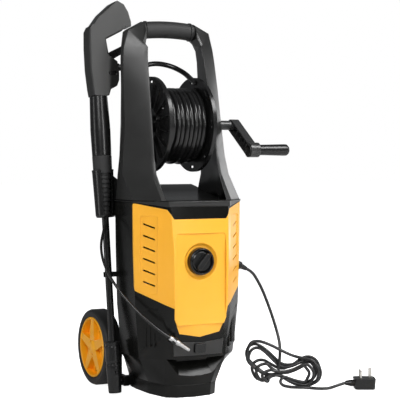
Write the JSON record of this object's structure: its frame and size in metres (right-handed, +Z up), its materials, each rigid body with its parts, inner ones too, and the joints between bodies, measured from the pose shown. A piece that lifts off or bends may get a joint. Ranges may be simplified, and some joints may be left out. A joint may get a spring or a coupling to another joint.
{
  "type": "pressure washer",
  "caption": "Upright electric pressure washer on wheels, with a cranked hose reel in its handle frame, a trigger gun and lance in a side holder, and a mains lead.",
  "frame": {"origin": "on the flat underside of the base, in the plane of symmetry, 100 mm ahead of the wheel axle", "axes": "+X to the right, -Y to the front (knob side), +Z up"},
  "size_m": [0.6144, 0.46, 0.8978],
  "materials": {
    "yellow_cover": "satin moulded plastic",
    "yellow_rim": "satin moulded plastic",
    "black_housing": "fine textured plastic",
    "black_frame": "satin moulded plastic",
    "black_trim": "satin plastic",
    "grey_gun": "satin plastic",
    "tyre": "moulded hard tyre",
    "hose_rubber": "smooth hose sheath",
    "cable_pvc": "smooth cable sheath",
    "zinc_steel": "turned steel",
    "iron_lamination": "laminated iron",
    "pump_alloy": "die cast",
    "tip_metal": "plated metal",
    "brass": "plated brass"
  },
  "bodies": {
    "chassis": {"front_cover": "yellow_cover", "knob_ring": "black_trim", "switch_body": "black_trim", "front_housing": "black_housing", "rear_housing": "black_housing", "housing_screws": "zinc_steel", "base_tray": "black_housing", "front_band": "black_trim", "tip_clip": "black_trim", "top_deck": "black_frame", "left_post": "black_frame", "right_post": "black_frame", "reel_bushes": "black_trim", "handle_bar": "black_frame", "wheel_axle": "zinc_steel", "motor_case": "pump_alloy", "stator": "iron_lamination", "motor_bearings": "zinc_steel", "pump_body": "pump_alloy", "pistons": "zinc_steel", "pump_head": "pump_alloy", "water_inlet": "black_trim", "outlet_pipe": "brass", "gun_shell": "grey_gun", "gun_hose_inlet": "brass", "wand": "black_trim", "wand_boot": "black_trim", "lance_tube": "black_trim", "holder_cup": "black_trim", "lance_clip": "black_trim", "free_hose": "hose_rubber", "thin_hose": "hose_rubber", "metal_tip": "tip_metal", "mains_lead": "cable_pvc", "cable_gland": "black_trim", "lead_hank": "cable_pvc", "plug_lead": "cable_pvc", "plug_body": "black_trim", "plug_pins": "brass"},
    "knob": {"knob": "black_trim"},
    "band_button": {"band_button": "black_trim"},
    "reel": {"left_reel_flange": "black_trim", "right_reel_flange": "black_trim", "reel_drum": "black_trim", "hose_coil": "hose_rubber", "reel_shaft": "black_trim", "crank_arm": "black_trim"},
    "crank_grip": {"crank_grip": "black_trim"},
    "left_wheel": {"left_tyre": "tyre", "left_rim": "yellow_rim"},
    "right_wheel": {"right_tyre": "tyre", "right_rim": "yellow_rim"},
    "motor_rotor": {"rotor": "iron_lamination", "motor_shaft": "zinc_steel", "cooling_fan": "black_trim", "swash_plate": "zinc_steel"},
    "trigger": {"trigger": "black_trim"},
    "trigger_lock": {"trigger_lock": "black_trim"},
    "nozzle": {"nozzle_body": "black_trim", "nozzle_tip": "black_trim"}
  },
  "joints": [
    {"name": "left_wheel_spin", "type": "hinge", "parent": "chassis", "child": "left_wheel", "pos_m": [-0.123, 0.1, 0.089], "axis": [1, 0, 0], "continuous": true},
    {"name": "right_wheel_spin", "type": "hinge", "parent": "chassis", "child": "right_wheel", "pos_m": [0.123, 0.1, 0.089], "axis": [1, 0, 0], "continuous": true},
    {"name": "reel_spin", "type": "hinge", "parent": "chassis", "child": "reel", "pos_m": [0, -0.04, 0.611], "axis": [1, 0, 0], "continuous": true},
    {"name": "crank_grip_spin", "type": "hinge", "parent": "reel", "child": "crank_grip", "pos_m": [0.23, -0.122, 0.553], "axis": [1, 0, 0], "continuous": true},
    {"name": "knob_turn", "type": "hinge", "parent": "chassis", "child": "knob", "pos_m": [0, -0.18, 0.306], "axis": [0, -1, 0], "range_deg": [-90, 0]},
    {"name": "button_press", "type": "slide", "parent": "chassis", "child": "band_button", "axis": [0, 1, 0], "range_m": [0, 0.002], "stiffness_N_per_m": 400},
    {"name": "motor_spin", "type": "hinge", "parent": "chassis", "child": "motor_rotor", "pos_m": [0, -0.05, 0.28], "axis": [0, 0, 1], "continuous": true},
    {"name": "trigger_pull", "type": "hinge", "parent": "chassis", "child": "trigger", "pos_m": [-0.12984, 0.04242, 0.76719], "axis": [0, -0.9935, 0.1138], "range_deg": [0, 12], "stiffness_Nm_per_rad": 0.6},
    {"name": "trigger_lock_slide", "type": "slide", "parent": "chassis", "child": "trigger_lock", "axis": [1, 0.001, 0.0088], "range_m": [0, 0.006]},
    {"name": "nozzle_twist", "type": "hinge", "parent": "chassis", "child": "nozzle", "pos_m": [-0.14753, -0.03817, 0.06361], "axis": [-0.0089, 0.1138, 0.9935], "range_deg": [0, 90]}
  ]
}
